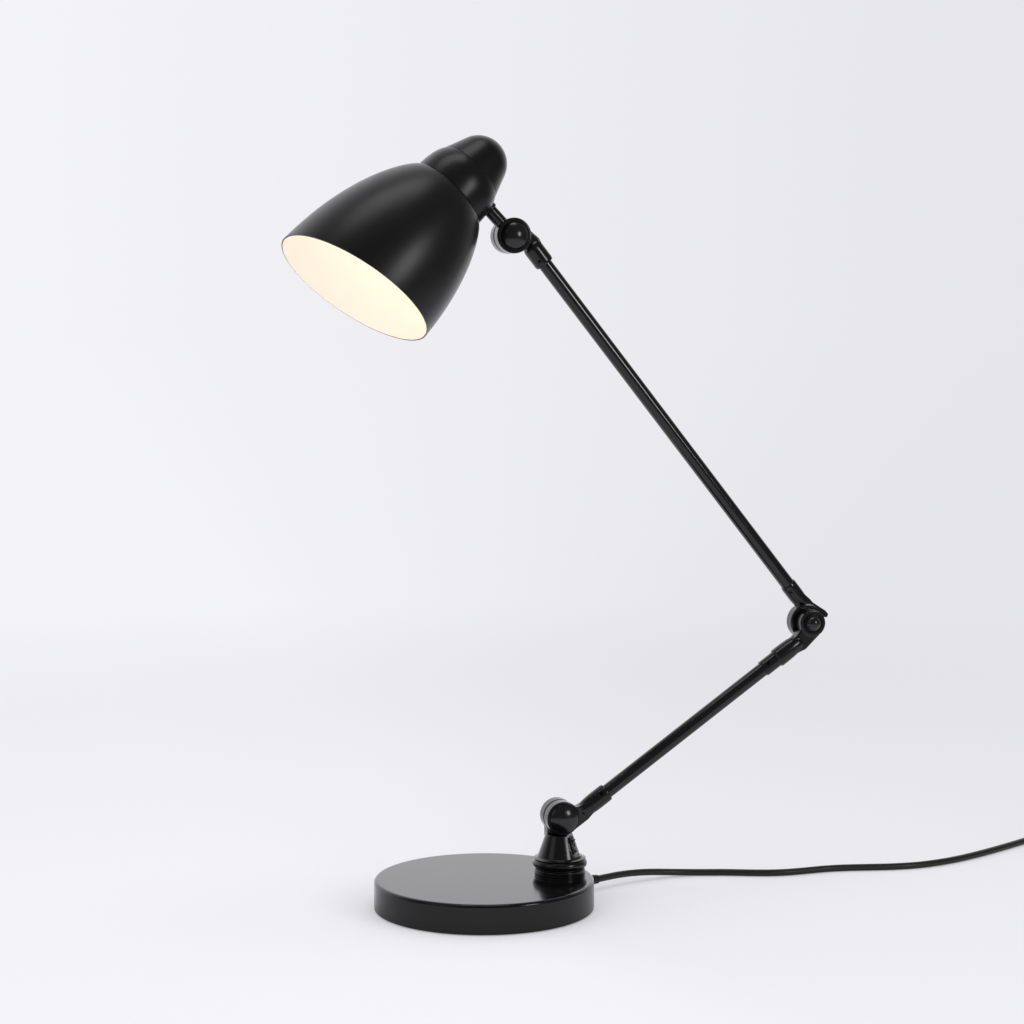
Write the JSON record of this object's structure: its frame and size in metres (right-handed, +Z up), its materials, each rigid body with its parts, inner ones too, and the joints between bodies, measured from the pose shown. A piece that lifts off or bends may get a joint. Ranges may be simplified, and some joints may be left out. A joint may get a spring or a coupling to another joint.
{
  "type": "table lamp",
  "caption": "Desk lamp with a round weighted base, swivelling post, two tubular arms on friction joints and a bell-shaped shade with a slanted mouth",
  "frame": {"origin": "middle of the felt face that the base rests on", "axes": "+Z up; +X from the middle of the base towards the post, in the plane that the arms move in; -Y towards the side with the domed joint caps"},
  "size_m": [0.9779, 0.3237, 0.6955],
  "materials": {
    "felt": "short black felt",
    "ballast_iron": "painted cast iron",
    "cover_lacquer": "gloss black lacquer",
    "casting_lacquer": "semi-gloss black lacquer on a casting",
    "tube_lacquer": "semi-gloss black lacquer on steel tube",
    "shade_lacquer": "satin black lacquer outside, cream inside",
    "housing_lacquer": "satin black lacquer",
    "zinc_steel": "bright zinc",
    "black_steel": "black oxide steel",
    "knob_plastic": "black moulded knob",
    "nylon": "black nylon",
    "switch_plastic": "black switch plastic",
    "wire_sleeve": "pale wire sleeve",
    "holder_plastic": "black moulded lampholder",
    "brass": "plain brass",
    "frosted_glass": "frosted lamp glass",
    "cord_pvc": "matt black cord sheath",
    "plug_plastic": "matt black plug"
  },
  "bodies": {
    "base": {"base_pad": "felt", "base_weight": "ballast_iron", "base_cover": "cover_lacquer", "cover_nuts": "zinc_steel", "cord_relief": "cord_pvc", "base_lead": "wire_sleeve", "foot_ring": "casting_lacquer", "swivel_washer": "nylon", "cord": "cord_pvc", "cord_coil": "cord_pvc", "plug_relief": "plug_plastic", "plug_body": "plug_plastic", "plug_pins": "zinc_steel"},
    "post": {"post": "casting_lacquer", "post_stud": "zinc_steel", "stud_nut": "zinc_steel", "stud_washer": "zinc_steel", "switch_bezel": "switch_plastic", "base_pivot_bolt": "zinc_steel", "base_pivot_cap": "casting_lacquer", "base_pivot_ring": "black_steel", "base_pivot_washer": "black_steel"},
    "switch_rocker": {"switch_rocker": "switch_plastic"},
    "base_knob": {"base_pivot_knob": "knob_plastic"},
    "lower_arm": {"lower_base_knuckle": "casting_lacquer", "lower_tube": "tube_lacquer", "lower_elbow_knuckle": "casting_lacquer", "lower_screws": "black_steel", "lower_lead": "wire_sleeve"},
    "upper_arm": {"upper_elbow_knuckle": "casting_lacquer", "upper_tube": "tube_lacquer", "upper_head_knuckle": "casting_lacquer", "upper_screws": "black_steel", "upper_lead": "wire_sleeve", "elbow_bolt": "zinc_steel", "elbow_cap": "casting_lacquer", "elbow_ring": "black_steel", "elbow_washer": "black_steel", "head_pivot_bolt": "zinc_steel", "head_pivot_cap": "casting_lacquer", "head_pivot_ring": "black_steel", "head_pivot_washer": "black_steel"},
    "elbow_knob": {"elbow_knob": "knob_plastic"},
    "head_knob": {"head_pivot_knob": "knob_plastic"},
    "head_stub": {"head_stub": "casting_lacquer", "stub_clip": "zinc_steel"},
    "head": {"housing_skirt": "housing_lacquer", "housing_cap": "housing_lacquer", "lampholder": "holder_plastic", "holder_contact": "brass", "holder_nipple": "zinc_steel", "nipple_nut": "zinc_steel", "shade": "shade_lacquer", "shade_ring": "holder_plastic", "bulb_cap": "zinc_steel", "bulb_glass": "frosted_glass"}
  },
  "joints": [
    {"name": "base_swivel", "type": "hinge", "parent": "base", "child": "post", "pos_m": [0.072, 0, 0.033], "axis": [0, 0, 1], "range_deg": [-165, 165]},
    {"name": "base_pivot", "type": "hinge", "parent": "post", "child": "lower_arm", "pos_m": [0.072, 0, 0.08], "axis": [0, -1, 0], "range_deg": [-30, 60]},
    {"name": "elbow_pivot", "type": "hinge", "parent": "lower_arm", "child": "upper_arm", "pos_m": [0.31529, 0, 0.25035], "axis": [0, 1, 0], "range_deg": [-50, 75]},
    {"name": "head_pivot", "type": "hinge", "parent": "upper_arm", "child": "head_stub", "pos_m": [0.02533, 0, 0.60747], "axis": [0, -1, 0], "range_deg": [-70, 65]},
    {"name": "head_swivel", "type": "hinge", "parent": "head_stub", "child": "head", "pos_m": [0.02533, -0.0065, 0.60747], "axis": [0.6921, 0, -0.7218], "range_deg": [-80, 80]},
    {"name": "switch_rock", "type": "hinge", "parent": "post", "child": "switch_rocker", "pos_m": [0.08087, -0.00554, 0.05333], "axis": [-0.5299, -0.848, 0], "range_deg": [0, 16]},
    {"name": "base_knob_turn", "type": "hinge", "parent": "post", "child": "base_knob", "pos_m": [0.072, 0.015, 0.08], "axis": [0, 1, 0], "range_deg": [-90, 90]},
    {"name": "elbow_knob_turn", "type": "hinge", "parent": "upper_arm", "child": "elbow_knob", "pos_m": [0.31529, 0.015, 0.25035], "axis": [0, 1, 0], "range_deg": [-90, 90]},
    {"name": "head_knob_turn", "type": "hinge", "parent": "upper_arm", "child": "head_knob", "pos_m": [0.02533, 0.015, 0.60747], "axis": [0, 1, 0], "range_deg": [-90, 90]}
  ]
}
